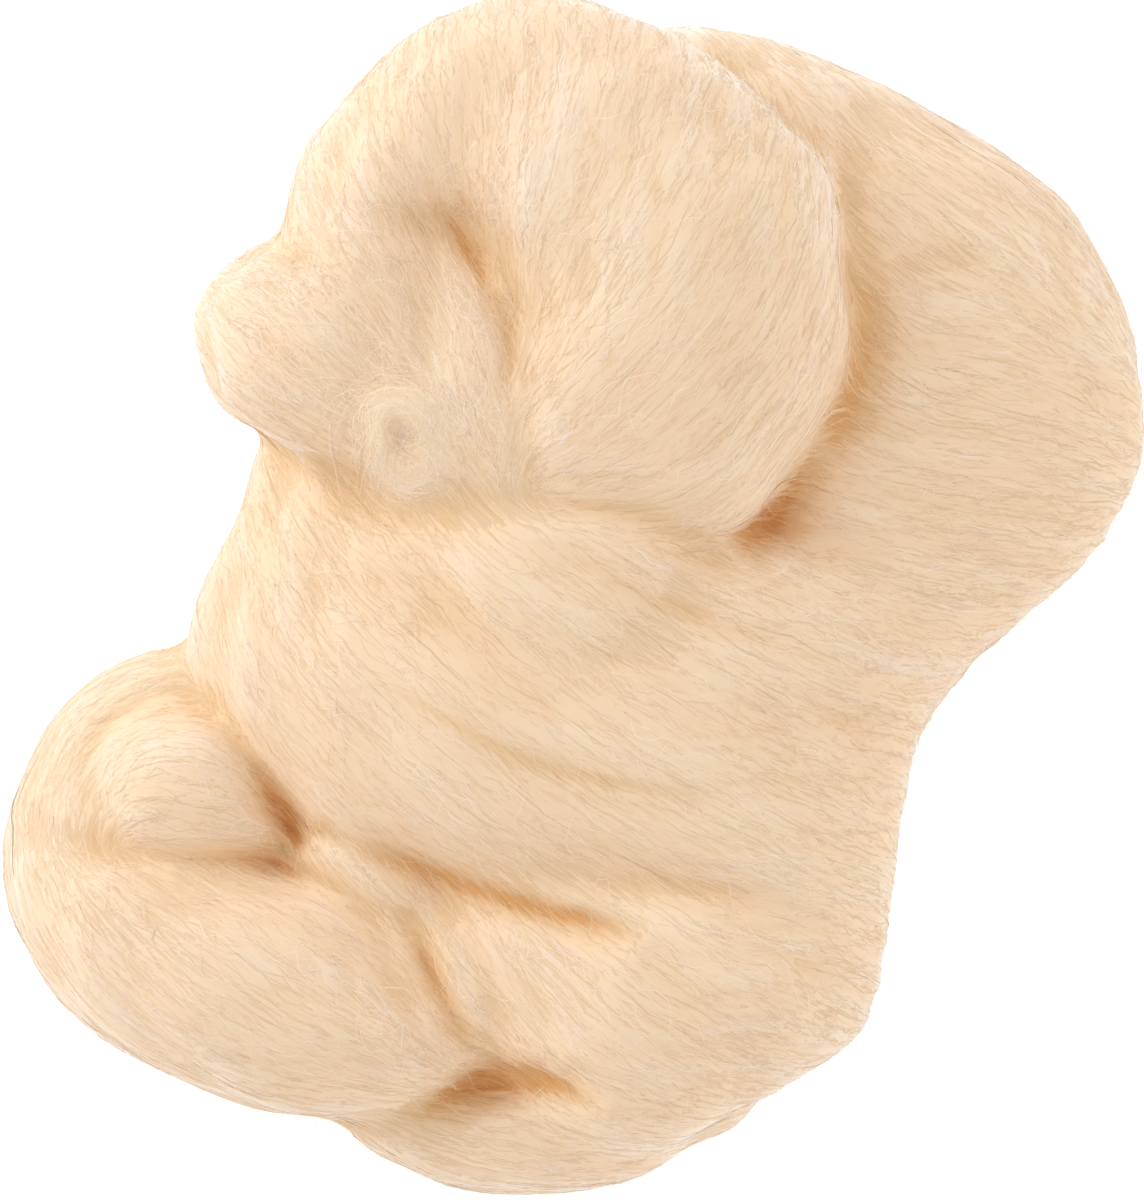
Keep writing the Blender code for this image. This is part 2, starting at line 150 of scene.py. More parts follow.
FOLDS = [
    Fold("under_crown", [(45.2, 42), (43.2, 33), (39.2, 24), (35.2, 17), (31, 12.4), (26, 8.8)],
         0.78, 6, 5.0, 2.4, 0.72, 2.3),
    Fold("crown_side", [(44, 74), (48, 60), (49.4, 47), (46.6, 34), (41, 23), (34, 13)],
         0.6, 1.2, 6.0, 2.4, 0.34, 4.4),
    Fold("crown_tail", [(-26, 70), (-22, 65), (-18.5, 60), (-15.5, 55), (-13.5, 49)],
         0.6, 2.4, 1.9, 1.9, 0.38, 1.3),
    Fold("crown_left", [(-14, 53), (-11, 45), (-10.5, 39), (-13, 32)], 0.4, 1.6, 2.2, 2.2, 0.34, 1.2),
    Fold("tail_branch", [(-33, 66), (-27, 64), (-20, 62)], 0.7, 0.8, 2.2, 2.2, 0.12, 1.1),
    Fold("tail_dimple", [(-33, 55), (-33, 44), (-36, 34)], 0.5, 1.0, 5.0, 5.0, 0.08, 3.5),
    Fold("tail_foot", [(-54, 27), (-42, 22), (-30, 17), (-17, 18), (-6, 13)], 0.5, 1.6, 2.6, 6.0, 0.04, 3.0),
    Fold("fan_waist", [(-2, 9), (10, 2), (30, -6), (48, -11), (60, -16)], 0.35, 1.1, 2.2, 7.0, 0.13, 1.0),
    Fold("mid_waist", [(-34, -12), (-22, -19), (-9, -26), (8, -30.5), (28, -34.5)],
         0.5, 1.2, 2.2, 7.0, 0.34, 1.1),
    Fold("under_waist",
         [(-46, -36), (-38, -40.5), (-27, -44.5), (-15, -49), (-4, -52), (6, -54.5), (13, -56)],
         0.58, 4.5, 2.2, 5.0, 0.42, 1.8),
    Fold("pocket_line", [(-50, -37), (-43, -38.5), (-35, -41.5), (-27, -44.5)],
         0.4, 2.0, 1.6, 2.2, 0.34, 1.1),
    Fold("waist_hollow", [(-44, 18), (-30, 6), (-12, -8), (6, -16)], 0.5, 0.5, 9.0, 9.0, 0.07, 9.0),
    Fold("loop_pocket", [(-60, -20), (-55, -27), (-50.5, -33), (-47, -38.5), (-45.5, -43)],
         0.7, 7, 2.4, 4.5, 0.60, 2.6),
    Fold("bump_rim", [(-81, -36), (-82, -28), (-77, -20), (-68, -16), (-58, -18)],
         0.5, 2, 2.4, 2.4, 0.1, 2.0),
    Fold("bump_shadow", [(-76, -41), (-66, -42.5), (-55, -43.5), (-46, -45), (-38, -48), (-31, -52)],
         0.58, 3.8, 5.0, 2.0, 0.26, 1.8),
    Fold("loop_lower", [(-29, -50), (-26, -57), (-23.5, -63), (-20, -70), (-16, -77)],
         0.5, 4, 2.4, 2.2, 0.26, 2.0),
    Fold("foot_pocket", [(-30, -87), (-20, -83), (-12, -80), (-2, -81), (6, -85)],
         0.5, 6, 2.4, 6.0, 0.80, 3.4),
    Fold("fan_valley", [(50, 88), (47, 74), (46, 60)], 0.5, 2.0, 6.0, 4.0, 0.02, 4.0),
    Fold("fan_fold", [(48, 54), (62, 57), (80, 57)], 0.4, 1.2, 2.6, 7.0, 0.06, 2.0),
    Fold("lower_crease_a", [(8, -54), (16, -62), (23, -72)], 0.5, 0.8, 2.6, 6.0, 0.03, 2.0),
    Fold("lower_crease_b", [(28, -57), (42, -63), (55, -69)], 0.5, 1.0, 2.6, 6.0, 0.05, 2.0),
]

# The curl at the strand's frayed end, thinner, lower and less round than the solid's
CURL_PLACE = (-27.2, 27.0, 72.8)
CURL_TILT = (0.50, -0.22, 0.0)
CURL_RADIUS, CURL_THICKNESS = 4.8, 3.0
CURL_SQUASH = 0.32  # how far the ring is from round, long side along the strand

# Skin
SKIN_VOXEL = 1.1  # grid on which the lobes are merged
SKIN_SOFTEN = 28  # rounds of softening after the lobes are merged
FLOOR_SOFTNESS = 0.4  # how gradually the skin flattens onto the floor

# Ridges along the fibres: rounds of even blur and of blur along them, their height and how much they lighten
Ridges = namedtuple("Ridges", "even along height tone")
FINE_RIDGES = Ridges(0, 26, 0.10, 0.03)
BROAD_RIDGES = Ridges(6, 70, 0.22, 0.06)

# Painted shade and light by the skin's own form: rounds of smoothing to measure a dent against, the depth
# that darkens by 1, and the most that painted light lightens a bulge and painted shade darkens a hollow
Dents = namedtuple("Dents", "rounds depth lightest darkest")
DENTS = [Dents(30, 6.0, 0.05, 0.16), Dents(260, 30.0, 0.03, 0.06)]
FOLD_SHADE_TURN = 0.3  # added to the skin's upright share: a fold's shade is full from 1 on and none below 0
CURL_TONE = 0.05  # how much paler the skin of the curl is

# Fibre directions: for each flow, places in plan and the fibres' heading there in degrees from +X
FLOWS = {
    "crown": [
        (-20, 92, 100), (-5, 96, 92), (10, 92, 74), (28, 82, 62), (7, 79, 72), (-8, 72, 80), (5, 60, 58),
        (25, 60, 56), (42, 56, 66), (-8, 48, 62), (5, 38, 46), (25, 40, 50), (42, 38, 60), (-8, 26, 40),
        (8, 16, 22), (25, 20, 38), (34, 22, 52),
    ],
    "crown_back": [
        (-42, 72, 122), (-32, 84, 115), (-20, 90, 103), (-5, 90, 92), (-25, 70, 118), (-12, 70, 100),
    ],
    "tail": [
        (-60, 48, 155), (-52, 40, 145), (-48, 58, 140), (-40, 64, 128), (-44, 48, 142), (-40, 35, 144),
        (-32, 60, 125), (-30, 45, 122), (-28, 30, 130), (-22, 54, 112), (-16, 44, 100), (-18, 30, 110),
    ],
    "body": [
        (-60, 2, 112), (-56, -22, 120), (-50, 8, 128), (-42, -22, 136), (-44, 26, 130), (-24, -12, 137),
        (-24, 10, 138), (-14, -34, 140), (0, -18, 142), (0, 8, 146), (14, -38, 148), (24, -12, 150),
        (30, -36, 155), (36, 2, 158), (42, -52, 160), (48, -28, 160), (60, -10, 162), (70, 0, 164),
        (52, 14, 166), (50, 28, 156), (50, 42, 134), (66, 22, 172), (66, 42, 172), (88, 12, 166),
        (92, 34, 160), (86, 54, 146), (74, 66, 146), (60, 74, 144), (48, 78, 128), (34, 88, 120),
        (20, 90, 110),
    ],
    "lower": [
        (-22, -50, 130), (-14, -58, 129), (-6, -68, 132), (0, -60, 137), (14, -60, 144), (20, -78, 150),
        (34, -54, 164), (46, -60, 158), (44, -72, 150), (4, -86, 158), (-8, -84, 150),
    ],
    "foot": [(-34, -88, 152), (-20, -90, 162), (-4, -92, 176), (14, -92, 186), (26, -86, 196)],
    "rim": [
        (-94, -44, 96), (-90, -28, 62), (-80, -14, 34), (-68, -10, 18), (-86, -40, 100), (-58, -16, 158),
        (-70, -14, 20), (-88, -58, 124),
    ],
    "bump": [
        (-80, -32, 60), (-76, -26, 26), (-66, -22, 172), (-64, -34, 168), (-54, -28, 146), (-56, -42, 165),
    ],
    "front": [
        (-92, -48, 118), (-84, -58, 128), (-70, -52, 140), (-52, -52, 144), (-36, -56, 146), (-28, -66, 142),
        (-74, -68, 140), (-56, -66, 145), (-60, -78, 154), (-42, -80, 160), (-24, -78, 150), (-17, -77, 140),
    ],
}
GUIDE_REACH = 8.0  # within this of a guide, the fibres keep nearly to its heading
LOBE_BLEND = 0.10  # how far past its edge a lobe's flow still counts, as a share of its size

# Fibres: how many, how many fine fibres lie side by side in each (0 for a single one), points along each,
# their length and width, how high they stand off the skin, the size and length of their crimp, how far they
# stray from the flow and wander to and fro in degrees, and how much paler they are than the wool below. That
# last is painted light and shade: the higher fibres are paler as if lit, the lowest darker as if shaded
Fibres = namedtuple("Fibres", "name count fine points length width lift crimp wave stray wander tone")
FIBRE_LAYERS = [
    Fibres("fibres_a", 11000, 3.5, 9, 22.0, 0.80, 0.12, 0.08, 6.0, 6.0, 5.0, -0.04),
    Fibres("fibres_b", 15500, 1.6, 7, 12.0, 0.34, 0.24, 0.10, 6.0, 9.0, 8.0, -0.02),
    Fibres("fibres_c", 14500, 0.0, 7, 12.0, 0.13, 0.32, 0.10, 5.5, 12.0, 12.0, 0.08),
    Fibres("fibres_d", 12000, 0.0, 7, 6.0, 0.11, 0.48, 0.16, 3.6, 20.0, 22.0, 0.14),
]
STRAYS = Fibres("stray_fibres", 3000, 0.0, 12, 13.0, 0.09, 1.2, 0.30, 4.2, 30.0, 30.0, 0.20)
CURL_FIBRES = Fibres("curl_fibres", 1500, 0.0, 12, 12.0, 0.11, 0.6, 0.45, 2.6, 0.0, 0.0, 0.08)
OWN_TONE = 0.10  # spread of the fibres' own tones
RIBBON_SHARE, SINGLE_SHARE = 0.25, 0.6  # how far ribbons and single fibres keep to their own tone
TAUT_PASSES, TAUT_RISE = 4, 1.6  # how far fibres straighten where they cross a fold, and rise there at most
CURL_LOOSENESS = (1.1, 3.0)  # how far the curl's fibres stand off it, and how far their ends leave it
CURL_SCATTER = 0.20  # how unequal in size the fibres' own rings are
# Painted shade: the fibres on the curl's inner side are painted darker and warmer, as if shaded by the ring
CURL_INNER_SHADE = 0.32  # how much warmer the wool is inside the curl
# Frizzy places: x, y, how far each reaches and how many times frizzier it is
FRIZZ = [(-28, 28, 8, 2.5), (-20, 33, 9, 2.0), (-12, 48, 7, 1.5), (-36, 46, 16, 1.0), (-16, 66, 7, 1.5)]
FRIZZ_TONE = 0.015  # how much paler the wool is for each time that it is frizzier
# Painted light: the wool's steep sides and rim are painted paler, as where light catches them
RIM_PAINTED_LIGHT, RIM_SLOPE = 0.25, 0.4  # how much paler the wool is where its upright share falls below the slope
SHADOW_LIFT = 0.4  # fibres that stand higher than this cast shadows
TOP_SHARE = 2.2  # how many more fibres grow on the upper side than underneath, for each area
UNDERSIDE = -0.2  # upright share of the skin below which it counts as underneath
FLOOR_ZONE, FLOOR_SHARE = 1.0, 0.15  # up to this height only this share of the fibres grow
START_SCATTER = 0.6  # how far the fibres' starts lie from the skin's vertices
LOWEST = 0.1  # fibres stay this far above the floor
ROOT_DEPTH = 0.12  # how far their ends lie inside the skin
LIFT_SPREAD = (0.15, 1.0)  # least and most lift, as a share of the layer's own
WIDTH_SPREAD = (0.6, 1.2)  # least and most width, likewise
RIBBON_ROLL = 16.0  # spread of the ribbons' roll about their length, in degrees
SHADING_TILT = 0.12  # spread of their shading to either side
FLY_RISE, FLY_SWING = 0.9, 1.6  # how far the stray fibres' free ends rise and swing
RING_REACH, RING_EDGE = 0.62, 0.6  # fibres this near the ring, in thicknesses, turn round it, and how softly

# Wool tones from the painted shade at the bottom of a fold to the brightest tips, and their linear colours
TONES = [
    (0.00, (0.76, 0.390, 0.150)),
    (0.35, (0.88, 0.595, 0.345)),
    (0.60, (0.94, 0.690, 0.454)),
    (1.00, (0.99, 0.865, 0.755)),
]
BASE_TONE = 0.60
UPLIFT = 0.35  # how far the fibres' shading leans upward, because light spreads through wool
DIM_FIBRE = (0.85, 0.82, 0.76)  # colour factor of the least lit fibres
STREAKS = 60.0  # light and dark fibres over the whole height of the fibres' map
PLAIN = 0.04  # the part of that height that holds no streaks, for single fibres
STREAK_DRIFT = 0.010  # how far they wander along a ribbon, as a share of that height
TONE_UV = "OFBake"

# Photograph frame and studio
PHOTO_WIDTH, PHOTO_HEIGHT = 1144, 1200
PIXEL = 0.17  # millimetres of the hank for each pixel of the photograph
CAMERA_HEIGHT = 1500.0
SHARP_HEIGHT = 28.0  # height at which the scale holds
SENSOR = 36.0
SKY = 0.74
FLOOR_GLOW = 0.34
FLOOR_SIZE = 6.0
LAMP_COLOUR = (0.86, 0.94, 1.0)

# Lamps: their place in metres, their size and their power in watts
LAMPS = [
    ("key", (-1.00, 0.60, 0.62), 0.8, 8.2),
    ("right_fill", (1.15, 0.20, 0.50), 0.8, 2.6),
    ("front_fill", (0.20, -1.15, 0.55), 0.8, 0.8),
]


def closed_curve(points):
    """Points along a smooth closed curve through the given ones."""
    knots = np.array(points, float)
    before, after, next_after = np.roll(knots, 1, 0), np.roll(knots, -1, 0), np.roll(knots, -2, 0)
    spans = []
    for t in np.arange(CURVE_STEPS) / CURVE_STEPS:
        spans.append(0.5 * (
            2 * knots
            + (after - before) * t
            + (2 * before - 5 * knots + 4 * after - next_after) * t ** 2
            + (3 * knots - before - 3 * after + next_after) * t ** 3
        ))
    return np.stack(spans, axis=1).reshape(-1, 2)


def outline_radius(lobe, angles):
    """Distance from the lobe's centre to its outline in each of the given directions."""
    curve = closed_curve(lobe.outline) - lobe.centre
    turn = np.arctan2(curve[:, 1], curve[:, 0])
    order = np.argsort(turn)
    return np.interp(angles, turn[order], np.hypot(*curve.T)[order], period=2 * np.pi)


def swell(places):
    """The wool's slow unevenness at each place, between about -1 and 1."""
    x, y, z = (2 * np.pi / SWELL_LENGTH * places).T
    return (np.sin(x + 0.6 * y) * np.sin(0.8 * y - z + 1.0) + np.sin(1.7 * z + 0.9 * x - 0.5 * y)) / 2


def add_lobe(mesh, lobe):
    """A sphere drawn out to the lobe's outline and heights."""
    made = bmesh.ops.create_uvsphere(mesh, u_segments=LOBE_SEGMENTS, v_segments=LOBE_RINGS, radius=1.0)
    balls = np.array([vertex.co for vertex in made["verts"]])
    flat = np.hypot(balls[:, 0], balls[:, 1])
    spread = flat ** (2 / FULLNESS)
    rise = np.sign(balls[:, 2]) * np.abs(balls[:, 2]) ** (2 / FULLNESS)
    angles = np.arctan2(balls[:, 1], balls[:, 0])
    radius = spread * outline_radius(lobe, angles)
    x = lobe.centre[0] + radius * np.cos(angles)
    y = lobe.centre[1] + radius * np.sin(angles)
    z = lobe.girth + np.where(rise > 0, lobe.high - lobe.girth, lobe.girth - lobe.low) * rise
    for vertex, place in zip(made["verts"], np.stack([x, y, z], axis=1)):
        vertex.co = place * MM


def curl_frame():
    """The curl's middle, and its two directions in the plane of the ring."""
    turn_x, turn_y, _ = CURL_TILT
    across = np.array([np.cos(turn_y), 0.0, -np.sin(turn_y)])
    along = np.array([np.sin(turn_x) * np.sin(turn_y), np.cos(turn_x), np.sin(turn_x) * np.cos(turn_y)])
    return np.array(CURL_PLACE), across, along


def curl_radius(turn):
    """The ring is a little out of round."""
    return CURL_RADIUS * (1 - CURL_SQUASH * np.cos(2 * turn) + 0.06 * np.cos(3 * turn))


def curl_girth(turn):
    """Half the strand's thickness round the ring, thin where its end runs out."""
    return CURL_THICKNESS / 2 * (0.72 + 0.28 * np.cos(turn - 2.2))


def add_curl(mesh):
    """The curl as a ring, to be merged with the lobes."""
    middle, across, along = curl_frame()
    upward = np.cross(across, along)
    rings, sides = 32, 14
    grid = []
    for i in range(rings):
        turn = 2 * np.pi * i / rings
        outward = across * np.cos(turn) + along * np.sin(turn)
        row = []
        for j in range(sides):
            around = 2 * np.pi * j / sides
            offset = outward * np.cos(around) + upward * np.sin(around)
            place = middle + outward * curl_radius(turn) + offset * curl_girth(turn)
            row.append(mesh.verts.new(place * MM))
        grid.append(row)
    for i, j in itertools.product(range(rings), range(sides)):
        after, beside = (i + 1) % rings, (j + 1) % sides
        mesh.faces.new((grid[i][j], grid[after][j], grid[after][beside], grid[i][beside]))


def new_object(name, mesh):
    made = bpy.data.objects.new(name, mesh)
    bpy.context.scene.collection.objects.link(made)
    return made


def merge_lobes():
    """All lobes and the curl as one soft closed mesh."""
    builder = bmesh.new()
    for lobe in LOBES:
        add_lobe(builder, lobe)
    add_curl(builder)
    mesh = bpy.data.meshes.new("lobes")
    builder.to_mesh(mesh)
    builder.free()
    lobes = new_object("lobes", mesh)
    remesh = lobes.modifiers.new("merge", "REMESH")
    remesh.mode = "VOXEL"
    remesh.voxel_size = SKIN_VOXEL * MM
    soften = lobes.modifiers.new("soften", "SMOOTH")
    soften.factor = 0.5
    soften.iterations = SKIN_SOFTEN
    merged = bpy.data.meshes.new_from_object(lobes.evaluated_get(bpy.context.evaluated_depsgraph_get()))
    bpy.data.objects.remove(lobes, do_unlink=True)
    return merged


def drop_hollows(mesh):
    """Removes the walls of hollows left between the turns, and keeps the outer skin."""
    builder = bmesh.new()
    builder.from_mesh(mesh)
    highest = max(builder.verts, key=lambda vertex: vertex.co.z)
    outer, still_to_visit = {highest}, [highest]
    while still_to_visit:
        vertex = still_to_visit.pop()
        for edge in vertex.link_edges:
            neighbour = edge.other_vert(vertex)
            if neighbour not in outer:
                outer.add(neighbour)
                still_to_visit.append(neighbour)
    inner = [vertex for vertex in builder.verts if vertex not in outer]
    bmesh.ops.delete(builder, geom=inner, context="VERTS")
    builder.to_mesh(mesh)
    builder.free()


def open_curve(points):
    """Points along a smooth open curve through the given ones, and the direction of the curve at each."""
    knots = np.array(points, float)
    knots = np.vstack([2 * knots[0] - knots[1], knots, 2 * knots[-1] - knots[-2]])
    spans = []
    for before, start, end, after in zip(knots[:-3], knots[1:-2], knots[2:-1], knots[3:]):
        t = (np.arange(FOLD_STEPS) / FOLD_STEPS)[:, None]
        spans.append(0.5 * (
            2 * start
            + (end - before) * t
            + (2 * before - 5 * start + 4 * end - after) * t ** 2
            + (3 * start - before - 3 * end + after) * t ** 3
        ))
    curve = np.vstack(spans + [knots[-2:-1]])
    heading = np.gradient(curve, axis=0)
    return curve, heading / np.linalg.norm(heading, axis=1)[:, None]


def fold_profile(places, fold, left, right):
    """How much of the fold reaches each place with slopes as wide as given, between 0 and 1."""
    curve, heading = open_curve(fold.route)
    profile = np.zeros(len(places))
    near = np.flatnonzero(
        np.all(places[:, :2] > curve.min(axis=0) - FOLD_WINDOW, axis=1)
        & np.all(places[:, :2] < curve.max(axis=0) + FOLD_WINDOW, axis=1)
    )
    away = places[near, None, :2] - curve[None]
    closest = np.argmin((away ** 2).sum(axis=2), axis=1)
    away = away[np.arange(len(near)), closest]
    heading = heading[closest]
    on_left = heading[:, 0] * away[:, 1] - heading[:, 1] * away[:, 0] > 0
    reach = np.where(on_left, left, right)
    share = ((closest + 0.5) / len(curve)) ** (np.log(0.5) / np.log(fold.peak))
    fading = np.sin(np.pi * share)
    profile[near] = fading * np.exp(-(away ** 2).sum(axis=1) / reach ** 2)
    return profile


def unit(vectors):
    return vectors / np.maximum(np.linalg.norm(vectors, axis=-1, keepdims=True), 1e-9)


def read_places(mesh):
    places = np.empty(len(mesh.vertices) * 3)
    mesh.vertices.foreach_get("co", places)
    return places.reshape(-1, 3) / MM


def write_places(mesh, places):
    mesh.vertices.foreach_set("co", (places * MM).ravel())
    mesh.update()


def read_normals(mesh):
    normals = np.empty(len(mesh.vertices) * 3)
    mesh.vertex_normals.foreach_get("vector", normals)
    return normals.reshape(-1, 3)


def read_edges(mesh):
    edges = np.empty(len(mesh.edges) * 2, int)
    mesh.edges.foreach_get("vertices", edges)
    return edges.reshape(-1, 2)


def press_folds(mesh):
    """Presses the folds into the upper side, and lets the wool swell and settle on the floor."""
    places, normals = read_places(mesh), read_normals(mesh)
    facing_up = np.clip(normals[:, 2] / STEEP, 0, 1)
    moved = places + normals * (SWELL * swell(places))[:, None]
    depths = [fold.depth * fold_profile(places, fold, fold.left, fold.right) for fold in FOLDS]
    deepest = np.max(depths, axis=0)
    moved[:, 2] -= deepest * facing_up
    moved[:, 2] = FLOOR_SOFTNESS * np.logaddexp(0, moved[:, 2] / FLOOR_SOFTNESS)
    write_places(mesh, moved)


def spread_values(values, edges, weights, rounds):
    """Values blurred over the mesh, each vertex taking the weighted mean of itself and its neighbours."""
    count = len(values)
    ends = np.concatenate([edges[:, 0], edges[:, 1]])
    others = np.concatenate([edges[:, 1], edges[:, 0]])
    both = np.concatenate([weights, weights])
    total = np.bincount(ends, both, count) + 1e-6
    columns = values.reshape(count, -1).copy()
    for _ in range(rounds):
        for column in range(columns.shape[1]):
            mean = np.bincount(ends, both * columns[others, column], count) / total
            columns[:, column] = (columns[:, column] + 2 * mean) / 3
    return columns.reshape(values.shape)


def lobe_size_at(places, lobe):
    """1 on the lobe's surface, less inside it and more outside."""
    offset = places[:, :2] - lobe.centre
    across = np.hypot(*offset.T) / outline_radius(lobe, np.arctan2(offset[:, 1], offset[:, 0]))
    height = places[:, 2] - lobe.girth
    height = np.abs(height) / np.where(height > 0, lobe.high - lobe.girth, lobe.girth - lobe.low)
    return (across ** FULLNESS + height ** FULLNESS) ** (1 / FULLNESS)


def plan_heading(places, guides):
    """The fibres' heading in plan, as the cosine and sine of twice its angle, from the flow's guides."""
    spots = np.array([guide[:2] for guide in guides], float)
    doubled = np.radians([2 * guide[2] for guide in guides])
    gap = ((places[:, None, :2] - spots[None]) ** 2).sum(axis=2)
    weight = 1 / (gap + GUIDE_REACH ** 2) ** 2
    heading = np.stack([weight @ np.cos(doubled), weight @ np.sin(doubled)], axis=1)
    return unit(heading)


def fibre_directions(places, normals):
    """The direction of the fibres at each place of the skin, along its surface."""
    sizes = np.stack([lobe_size_at(places, lobe) for lobe in LOBES], axis=1)
    weights = np.exp(-((sizes - sizes.min(axis=1, keepdims=True)) / LOBE_BLEND) ** 2)
    headings = {name: plan_heading(places, guides) for name, guides in FLOWS.items()}
    doubled = sum(weights[:, i:i + 1] * headings[lobe.flow] for i, lobe in enumerate(LOBES))
    angle = np.arctan2(doubled[:, 1], doubled[:, 0]) / 2
    along = np.stack([np.cos(angle), np.sin(angle), np.zeros(len(angle))], axis=1)
    upright = np.stack([-np.sin(angle), np.cos(angle), np.zeros(len(angle))], axis=1)
    over_edge = np.cross(upright, normals)
    on_surface = along - (along * normals).sum(axis=1, keepdims=True) * normals
    same_way = np.sign((over_edge * on_surface).sum(axis=1, keepdims=True) + 1e-12)
    return unit(over_edge + same_way * on_surface)


def turn_round_curl(places, normals, directions):
    """Near the curl the fibres run round its ring."""
    middle, across, along = curl_frame()
    offset = places - middle
    turn = np.arctan2(offset @ along, offset @ across)
    outward = np.cos(turn)[:, None] * across + np.sin(turn)[:, None] * along
    gap = np.linalg.norm(offset - outward * CURL_RADIUS, axis=1)
    share = np.clip((CURL_THICKNESS * RING_REACH - gap) / RING_EDGE, 0, 1)[:, None]
    ring = np.cos(turn)[:, None] * along - np.sin(turn)[:, None] * across
    ring = ring * np.sign((ring * directions).sum(axis=1, keepdims=True) + 1e-12)
    mixed = directions * (1 - share) + ring * share
    return unit(mixed - (mixed * normals).sum(axis=1, keepdims=True) * normals), share[:, 0]


def ridge_pattern(places, edges, directions, rng, ridges):
    """Long soft ridges along the fibres, about -1 to 1."""
    level = np.ones(len(edges))
    noise = spread_values(rng.normal(size=len(places)), edges, level, ridges.even)
    span = unit(places[edges[:, 1]] - places[edges[:, 0]])
    lined_up = np.abs((span * (directions[edges[:, 0]] + directions[edges[:, 1]]) / 2).sum(axis=1))
    noise = spread_values(noise, edges, lined_up ** 8 + 1e-4, ridges.along)
    return np.clip(noise / (2 * noise.std()), -1, 1)


def dent_depth(places, normals, edges, rounds):
    """How far each place lies below the skin's smoothed surface, in millimetres, negative on a bulge."""
    smooth = spread_values(places, edges, np.ones(len(edges)), rounds)
    return ((smooth - places) * normals).sum(axis=1)


class Skin:
    CELL = 1.3
    REACH = 3

    def __init__(self, mesh, rng):
        edges = read_edges(mesh)
        places, normals = read_places(mesh), read_normals(mesh)
        directions = fibre_directions(places, normals)
        fine = ridge_pattern(places, edges, directions, rng, FINE_RIDGES)
        broad = ridge_pattern(places, edges, directions, rng, BROAD_RIDGES)
        height = FINE_RIDGES.height * fine + BROAD_RIDGES.height * broad
        write_places(mesh, places + normals * height[:, None])
        self.places, self.normals = read_places(mesh), read_normals(mesh)
        self.directions, on_curl = turn_round_curl(self.places, self.normals, directions)
        tone = self.tone_of_form(edges) + BROAD_RIDGES.tone * broad + FINE_RIDGES.tone * fine
        self.tone = np.clip(tone + CURL_TONE * on_curl, 0, 1)
        self.fill_table()

    def tone_of_form(self, edges):
        """The wool's tone: painted shade in dents and folds, painted light on bulges and rim, paler frizz."""
        upright = self.normals[:, 2]
        tone = np.full(len(self.places), BASE_TONE)
        # Painted shade in the hollows and painted light on the bulges
        for dents in DENTS:
            depth = dent_depth(self.places, self.normals, edges, dents.rounds)
            tone -= np.clip(depth / dents.depth, -dents.lightest, dents.darkest)
        # Painted shade: each fold darkens the wool where shadow falls into it, less on steep skin
        shades = [fold.shade * fold_profile(self.places, fold, fold.core, fold.core) for fold in FOLDS]
        tone -= np.max(shades, axis=0) * np.clip(upright + FOLD_SHADE_TURN, 0, 1)
        tone += FRIZZ_TONE * (frizz_at(self.places) - 1)
        # Painted light on the steep sides and rim
        tone += RIM_PAINTED_LIGHT * np.clip(RIM_SLOPE - upright, 0, 1)
        return tone

    def fill_table(self):
        """Writes a skin vertex into each cell near the skin, those of the nearest cells last."""
        self.low = self.places.min(axis=0) - (self.REACH + 1) * self.CELL
        shape = np.ceil((self.places.max(axis=0) - self.low) / self.CELL).astype(int) + self.REACH + 2
        self.table = np.zeros(shape, np.int32)
        home = self.cell_of(self.places)
        steps = range(-self.REACH, self.REACH + 1)
        offsets = sorted(itertools.product(steps, repeat=3), key=lambda step: -np.dot(step, step))
        for offset in offsets:
            self.table[tuple((home + offset).T)] = np.arange(len(home))

    def cell_of(self, points):
        cells = ((points - self.low) / self.CELL).astype(int)
        return np.clip(cells, 0, np.array(self.table.shape) - 1)

    def nearest(self, points):
        return self.table[tuple(self.cell_of(points).T)]

    def onto(self, points):
        """The points moved onto the skin, and the skin vertex nearest to each."""
        found = self.nearest(points)
        away = ((points - self.places[found]) * self.normals[found]).sum(axis=1, keepdims=True)
        return points - away * self.normals[found], found


def frizz_at(places):
    """How many times frizzier than elsewhere the wool is at each place."""
    frizz = np.ones(len(places))
    for x, y, reach, strength in FRIZZ:
        frizz += strength * np.exp(-((places[:, 0] - x) ** 2 + (places[:, 1] - y) ** 2) / reach ** 2)
    return frizz


def trace(skin, starts, veer, steps, step):
    """Walks from each start along the skin's fibres. Gives the places and their skin vertices."""
    points, found = skin.onto(starts)
    heading = skin.directions[found]
    places, vertices = [points], [found]
    for i in range(steps):
        ahead = skin.directions[found]
        ahead = ahead * np.sign((ahead * heading).sum(axis=1, keepdims=True) + 1e-12)
        beside = np.cross(skin.normals[found], ahead)
        heading = unit(ahead + beside * veer[:, i:i + 1])
        points, found = skin.onto(points + heading * step[:, None])
        places.append(points)
        vertices.append(found)
    return np.stack(places, axis=1), np.stack(vertices, axis=1)


def veer_angles(layer, count, steps, frizz, rng):
    """How far each fibre strays from the flow at each step, as a tangent."""
    base = rng.normal(0, layer.stray, (count, 1))
    phase = rng.uniform(0, 2 * np.pi, (count, 1))
    pace = rng.uniform(0.4, 1.3, (count, 1))
    sway = layer.wander * np.sin(phase + pace * np.arange(steps))
    return np.tan(np.radians(np.clip((base + sway) * frizz[:, None], -70, 70)))


def strand_lines(skin, layer, starts, rng):
    """The middle lines of the layer's fibres on the skin, and their skin vertices."""
    count = len(starts)
    half = (layer.points - 1) // 2
    step = layer.length * rng.uniform(0.6, 1.3, count) / (layer.points - 1)
    veer = veer_angles(layer, count, layer.points, np.sqrt(frizz_at(starts)), rng)
    ahead, ahead_found = trace(skin, starts, veer, layer.points - 1 - half, step)
    behind, behind_found = trace(skin, starts, -veer, half, -step)
    lines = np.concatenate([behind[:, :0:-1], ahead], axis=1)
    return lines, np.concatenate([behind_found[:, :0:-1], ahead_found], axis=1)


